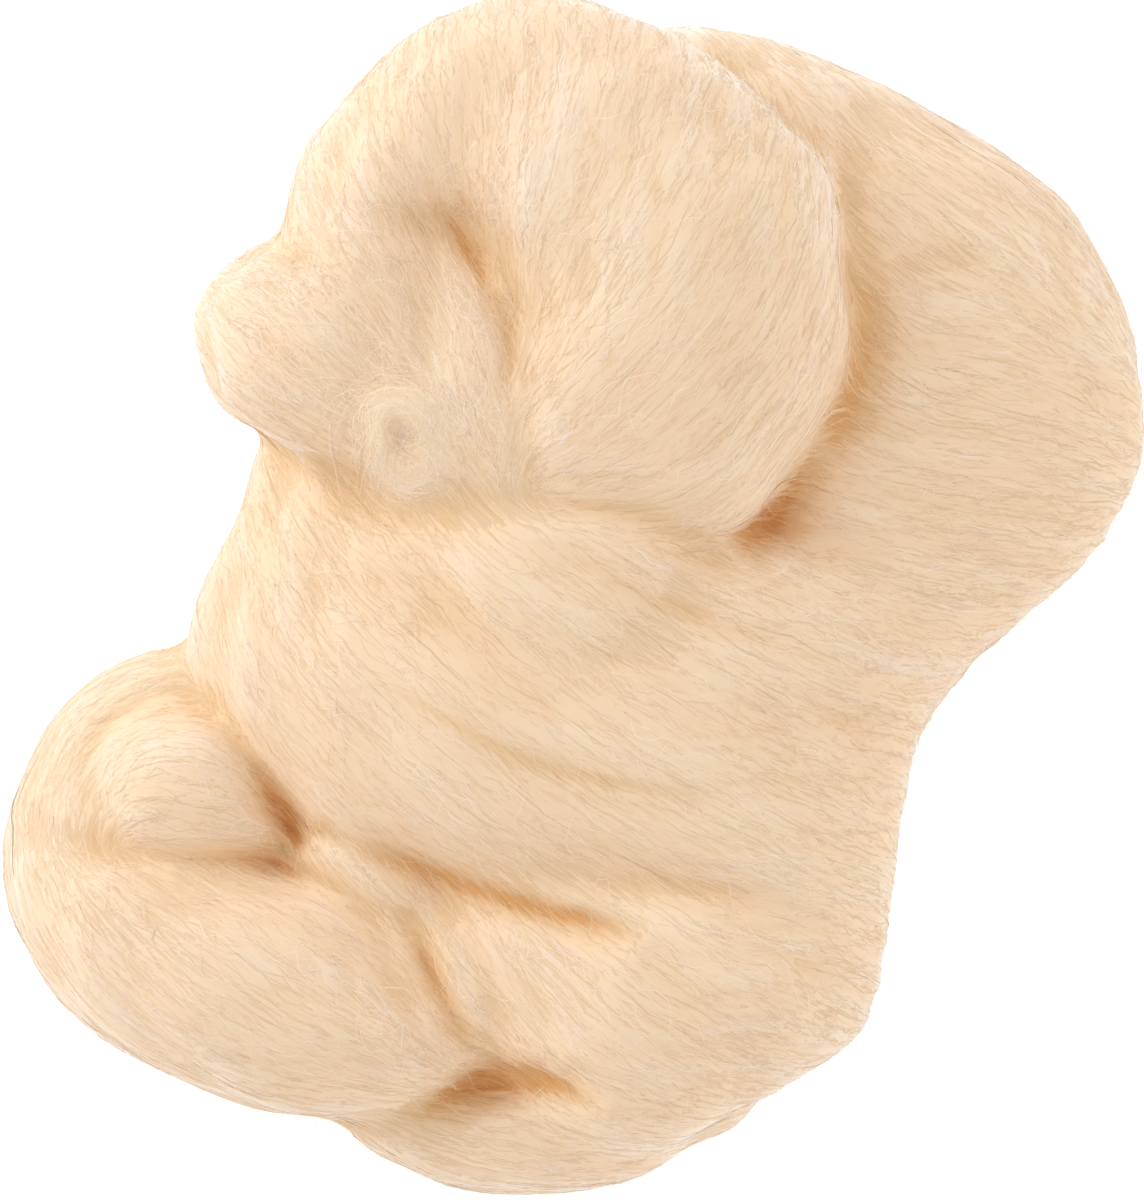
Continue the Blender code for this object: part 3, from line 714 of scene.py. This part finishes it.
def choose_starts(skin, count, rng):
    """Random places on the skin, more of them on the upper side."""
    share = np.where(skin.normals[:, 2] > UNDERSIDE, TOP_SHARE, 1.0)
    share = np.where(skin.places[:, 2] < FLOOR_ZONE, FLOOR_SHARE, share) * frizz_at(skin.places)
    chosen = rng.choice(len(skin.places), count, p=share / share.sum())
    return skin.places[chosen] + rng.uniform(-START_SCATTER, START_SCATTER, (count, 3))


def pull_taut(lines, normals):
    """Lets fibres bridge narrow folds: each point rises towards the line through its neighbours."""
    eased = lines.copy()
    for _ in range(TAUT_PASSES):
        eased[:, 1:-1] = (eased[:, :-2] + 2 * eased[:, 1:-1] + eased[:, 2:]) / 4
    rise = np.clip(((eased - lines) * normals).sum(axis=2, keepdims=True), 0, TAUT_RISE)
    return lines + normals * rise


def lift_lines(skin, layer, lines, found, rng):
    """Raises the lines off the skin, gives them crimp, and returns them with their normals and sides."""
    count, points = found.shape
    normals = unit(skin.normals[found])
    lines = pull_taut(lines, normals)
    along = unit(np.gradient(lines, axis=1))
    sides = unit(np.cross(normals, along))
    place = np.linspace(0, 1, points)[None]
    height = layer.lift * rng.uniform(*LIFT_SPREAD, (count, 1)) ** 1.5
    arch = np.sin(np.pi * np.clip(place, 0.02, 0.98)) ** 0.7
    lifted = height * arch - ROOT_DEPTH
    length = np.linalg.norm(np.diff(lines, axis=1), axis=2).sum(axis=1, keepdims=True)
    phase = rng.uniform(0, 2 * np.pi, (count, 2))
    turns = 2 * np.pi * length / (layer.wave * rng.uniform(0.7, 1.4, (count, 1)))
    size = layer.crimp * rng.uniform(0.3, 1.0, (count, 1))
    sway = size * np.sin(turns * place + phase[:, :1])
    bob = 0.5 * size * np.sin(turns * place + phase[:, 1:])
    lines = lines + normals * (lifted + bob)[..., None] + sides * sway[..., None]
    lines[..., 2] = np.maximum(lines[..., 2], LOWEST)
    return lines, normals, sides


def fly_away(lines, normals, sides, rng):
    """Lets one end of each stray fibre rise off the skin in its own curve."""
    count, points = lines.shape[:2]
    place = np.linspace(0, 1, points)[None]
    rise = rng.exponential(FLY_RISE, (count, 1)) * place ** 2.2
    swing = rng.normal(0, FLY_SWING, (count, 1)) * place ** 2
    lines = lines + normals * rise[..., None] + sides * swing[..., None]
    lines[..., 2] = np.maximum(lines[..., 2], LOWEST)
    return lines


def curl_lines(layer, rng):
    """Fibres wound round the curl's ring with loose ends, and painted shade from 1 on its inner side to 0."""
    middle, across, along = curl_frame()
    upward = np.cross(across, along)
    count = layer.count
    start = rng.uniform(0, 2 * np.pi, (count, 1))
    arc = layer.length * rng.uniform(0.6, 1.4, (count, 1)) / CURL_RADIUS
    turn = start + arc * np.linspace(0, 1, layer.points)[None]
    along_fibre = np.linspace(0, 1, layer.points)
    around = rng.uniform(0, 2 * np.pi, (count, 1)) + rng.normal(0, 1.6, (count, 1)) * along_fibre
    loose = rng.exponential(CURL_LOOSENESS[0], (count, 1))
    leaving = rng.exponential(CURL_LOOSENESS[1], (count, 1)) * along_fibre ** 3
    out = 0.8 * curl_girth(turn) + loose + leaving
    outward = np.cos(turn)[..., None] * across + np.sin(turn)[..., None] * along
    normals = outward * np.cos(around)[..., None] + upward * np.sin(around)[..., None]
    size = curl_radius(turn) * (1 + rng.normal(0, CURL_SCATTER, (count, 1)))
    lines = middle + outward * size[..., None] + normals * out[..., None]
    lines = lines + normals * (layer.crimp * np.sin(turn * 4 + start * 5))[..., None]
    sides = unit(np.cross(normals, unit(np.gradient(lines, axis=1))))
    return lines, normals, sides, np.clip(-np.cos(around), 0, 1)


def streak_palette(tones, fine, rng):
    """Each corner's place in the fibres' map: its tone, and the streak that runs through it."""
    count, points = tones.shape
    half = fine / STREAKS / 2
    streak = rng.uniform(0.15, 0.85, (count, 1)) + rng.normal(0, STREAK_DRIFT, (count, points))
    if fine == 0:
        streak = np.full((count, points), PLAIN / 2)
    corners = np.stack([streak - half, streak + half], axis=2)
    return np.stack([np.repeat(tones[..., None], 2, axis=2), corners], axis=3).reshape(-1, 2)


def ribbon_mesh(name, lines, normals, sides, palette, width, rng):
    """Fine ribbons along the lines, shaded as round fibres of the wool below them."""
    count, points = lines.shape[:2]
    taper = np.sin(np.pi * np.linspace(0.06, 0.94, points)) ** 0.6
    roll = np.radians(rng.normal(0, RIBBON_ROLL, (count, 1, 1)))
    flat = sides * np.cos(roll) + normals * np.sin(roll)
    half = (width * rng.uniform(*WIDTH_SPREAD, (count, 1)) * taper[None])[..., None] * flat / 2
    corners = np.stack([lines - half, lines + half], axis=2).reshape(-1, 3)
    tilt = rng.normal(0, SHADING_TILT, (count, 1, 1))
    shading = unit(normals + sides * tilt + [0.0, 0.0, UPLIFT])
    first = (np.arange(count * points).reshape(count, points) * 2)[:, :-1]
    quads = np.stack([first, first + 2, first + 3, first + 1], axis=2).reshape(-1, 4)

    mesh = bpy.data.meshes.new(name)
    mesh.vertices.add(len(corners))
    mesh.vertices.foreach_set("co", (corners * MM).ravel())
    mesh.loops.add(quads.size)
    mesh.loops.foreach_set("vertex_index", quads.ravel())
    mesh.polygons.add(len(quads))
    mesh.polygons.foreach_set("loop_start", np.arange(len(quads)) * 4)
    mesh.update(calc_edges=True)
    layer = mesh.uv_layers.new(name=TONE_UV)
    layer.uv.foreach_set("vector", np.clip(palette[quads.ravel()], 0.004, 0.996).ravel())
    mesh.shade_smooth()
    mesh.normals_split_custom_set_from_vertices(np.repeat(shading.reshape(-1, 3), 2, axis=0))
    return mesh


def fibre_tones(skin, layer, found, rng):
    """Each fibre's tone along its length: between its own mean and the wool just below it."""
    below = skin.tone[found]
    own = below.mean(axis=1, keepdims=True) + rng.normal(0, OWN_TONE, (found.shape[0], 1))
    share = RIBBON_SHARE if layer.fine else SINGLE_SHARE
    return np.clip(below + layer.tone + share * (own - below), 0, 1)


def let_light_through(fibres):
    """Wool passes most light on, so fibres that lie close cast no shadows and stop no bounced light."""
    fibres.visible_shadow = False
    fibres.visible_diffuse = False
    return fibres


def dress_with_fibres(skin, layer, material, rng, flying=False):
    """One layer of fibres over the skin, as a piece."""
    lines, found = strand_lines(skin, layer, choose_starts(skin, layer.count, rng), rng)
    lines, normals, sides = lift_lines(skin, layer, lines, found, rng)
    if flying:
        lines = fly_away(lines, normals, sides, rng)
    palette = streak_palette(fibre_tones(skin, layer, found, rng), layer.fine, rng)
    mesh = ribbon_mesh(layer.name, lines, normals, sides, palette, layer.width, rng)
    mesh.materials.append(material)
    fibres = new_object(layer.name, mesh)
    return fibres if layer.lift > SHADOW_LIFT else let_light_through(fibres)


def dress_curl(material, rng):
    """The curl's own fibres, as a piece."""
    layer = CURL_FIBRES
    lines, normals, sides, inner = curl_lines(layer, rng)
    own = rng.normal(0, OWN_TONE, (layer.count, 1))
    # Painted shade inside the curl, where the ring shades its inner fibres
    tones = np.clip(BASE_TONE + layer.tone + own - CURL_INNER_SHADE * inner, 0, 1)
    mesh = ribbon_mesh(layer.name, lines, normals, sides, streak_palette(tones, 0.0, rng), layer.width, rng)
    mesh.materials.append(material)
    return let_light_through(new_object(layer.name, mesh))


def add_tone_ramp(nodes):
    ramp = nodes.new("ShaderNodeValToRGB")
    ramp.color_ramp.interpolation = "EASE"
    while len(ramp.color_ramp.elements) < len(TONES):
        ramp.color_ramp.elements.new(0.5)
    for element, (place, colour) in zip(ramp.color_ramp.elements, TONES):
        element.position = place
        element.color = (*colour, 1.0)
    return ramp


def add_math(nodes, operation, second=None):
    """A node that reckons with one value, or with two where the second is given."""
    node = nodes.new("ShaderNodeMath")
    node.operation = operation
    if second is not None:
        node.inputs[1].default_value = second
    return node


def wool_look(material):
    look = material.node_tree.nodes["Principled BSDF"]
    look.inputs["Roughness"].default_value = 0.85
    look.inputs["Specular IOR Level"].default_value = 0.15
    look.inputs["Sheen Weight"].default_value = 0.80
    look.inputs["Sheen Roughness"].default_value = 0.40
    look.inputs["Sheen Tint"].default_value = (1.0, 1.0, 1.0, 1.0)
    return look


def skin_material():
    """The mass of wool under the fibres, its tone with the painted shade and light of its form."""
    material = bpy.data.materials.new("wool_mass")
    material.use_nodes = True
    nodes, links = material.node_tree.nodes, material.node_tree.links
    look = wool_look(material)
    tone = nodes.new("ShaderNodeAttribute")
    tone.attribute_name = "tone"
    ramp = add_tone_ramp(nodes)
    links.new(tone.outputs["Fac"], ramp.inputs["Fac"])
    links.new(ramp.outputs["Color"], look.inputs["Base Color"])
    return material


def fibre_material():
    """Fibres: their map's U is the tone, and light and dark streaks follow one another along its V."""
    material = bpy.data.materials.new("wool_fibres")
    material.use_nodes = True
    nodes, links = material.node_tree.nodes, material.node_tree.links
    look = wool_look(material)
    place = nodes.new("ShaderNodeUVMap")
    place.uv_map = TONE_UV
    split = nodes.new("ShaderNodeSeparateXYZ")
    ramp = add_tone_ramp(nodes)
    spread = add_math(nodes, "MULTIPLY", STREAKS)
    number = add_math(nodes, "FLOOR")
    streak = nodes.new("ShaderNodeTexWhiteNoise")
    streak.noise_dimensions = "1D"
    streaked = add_math(nodes, "GREATER_THAN", PLAIN)
    share = add_math(nodes, "MULTIPLY")
    dim = nodes.new("ShaderNodeMix")
    dim.data_type = "RGBA"
    dim.blend_type = "MULTIPLY"
    dim.inputs["B"].default_value = (*DIM_FIBRE, 1.0)
    links.new(place.outputs["UV"], split.inputs["Vector"])
    links.new(split.outputs["X"], ramp.inputs["Fac"])
    links.new(split.outputs["Y"], spread.inputs[0])
    links.new(spread.outputs["Value"], number.inputs[0])
    links.new(number.outputs["Value"], streak.inputs["W"])
    links.new(split.outputs["Y"], streaked.inputs[0])
    links.new(streak.outputs["Value"], share.inputs[0])
    links.new(streaked.outputs["Value"], share.inputs[1])
    links.new(share.outputs["Value"], dim.inputs["Factor"])
    links.new(ramp.outputs["Color"], dim.inputs["A"])
    links.new(dim.outputs["Result"], look.inputs["Base Color"])
    return material


def make_skin(rng):
    """The skin as a piece, and its look-up for the fibres."""
    mesh = merge_lobes()
    drop_hollows(mesh)
    press_folds(mesh)
    places = read_places(mesh)
    middle = (places.min(axis=0) + places.max(axis=0)) / 2
    write_places(mesh, places - [middle[0], middle[1], 0])
    skin = Skin(mesh, rng)
    # The tone carries the painted shade of folds and dents and the painted light of bulges and rim
    tone = mesh.attributes.new("tone", "FLOAT", "POINT")
    tone.data.foreach_set("value", skin.tone.astype(np.float32))
    mesh.shade_smooth()
    mesh.materials.clear()
    mesh.materials.append(skin_material())
    mesh.name = "wool_mass"
    return new_object("wool_mass", mesh), skin


def add_floor():
    bpy.ops.mesh.primitive_plane_add(size=FLOOR_SIZE)
    floor = bpy.context.object
    floor.name = "floor"
    pale = bpy.data.materials.new("pale_floor")
    pale.use_nodes = True
    look = pale.node_tree.nodes["Principled BSDF"]
    look.inputs["Base Color"].default_value = (0.93, 0.93, 0.93, 1.0)
    look.inputs["Emission Color"].default_value = (1.0, 1.0, 1.0, 1.0)
    look.inputs["Emission Strength"].default_value = FLOOR_GLOW
    look.inputs["Roughness"].default_value = 0.9
    look.inputs["Specular IOR Level"].default_value = 0.1
    floor.data.materials.append(pale)


def add_lamp(name, place, size, energy):
    """A soft square lamp that faces the hank."""
    data = bpy.data.lights.new(name, "AREA")
    data.size = size
    data.energy = energy
    data.color = LAMP_COLOUR
    lamp = bpy.data.objects.new(name, data)
    lamp.location = place
    aim = -lamp.location
    lamp.rotation_euler = aim.to_track_quat("-Z", "Y").to_euler()
    bpy.context.scene.collection.objects.link(lamp)


def add_studio():
    """Even light from all round, a soft key lamp at the upper left and weak ones at the right and front."""
    world = bpy.data.worlds.new("studio")
    world.use_nodes = True
    sky = world.node_tree.nodes["Background"]
    sky.inputs["Color"].default_value = (1.0, 1.0, 1.0, 1.0)
    sky.inputs["Strength"].default_value = SKY
    bpy.context.scene.world = world
    for name, place, size, energy in LAMPS:
        add_lamp(name, place, size, energy)
    bpy.context.scene.view_settings.view_transform = "Standard"


def add_camera():
    """Straight above the hank, as in the photograph."""
    data = bpy.data.cameras.new("camera")
    data.sensor_width = SENSOR
    seen = PIXEL * max(PHOTO_WIDTH, PHOTO_HEIGHT)
    data.lens = SENSOR * (CAMERA_HEIGHT - SHARP_HEIGHT) / seen
    camera = bpy.data.objects.new("camera", data)
    camera.location = (0.0, 0.0, CAMERA_HEIGHT * MM)
    bpy.context.scene.collection.objects.link(camera)
    bpy.context.scene.camera = camera


def main():
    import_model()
    rng = np.random.default_rng(SEED)
    wool, skin = make_skin(rng)
    fibres = fibre_material()
    pieces = [wool]
    pieces += [dress_with_fibres(skin, layer, fibres, rng) for layer in FIBRE_LAYERS]
    pieces.append(dress_with_fibres(skin, STRAYS, fibres, rng, flying=True))
    pieces.append(dress_curl(fibres, rng))
    for piece in pieces:
        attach(piece, "root")
        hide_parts("roving")
    add_floor()
    add_studio()
    add_camera()


main()
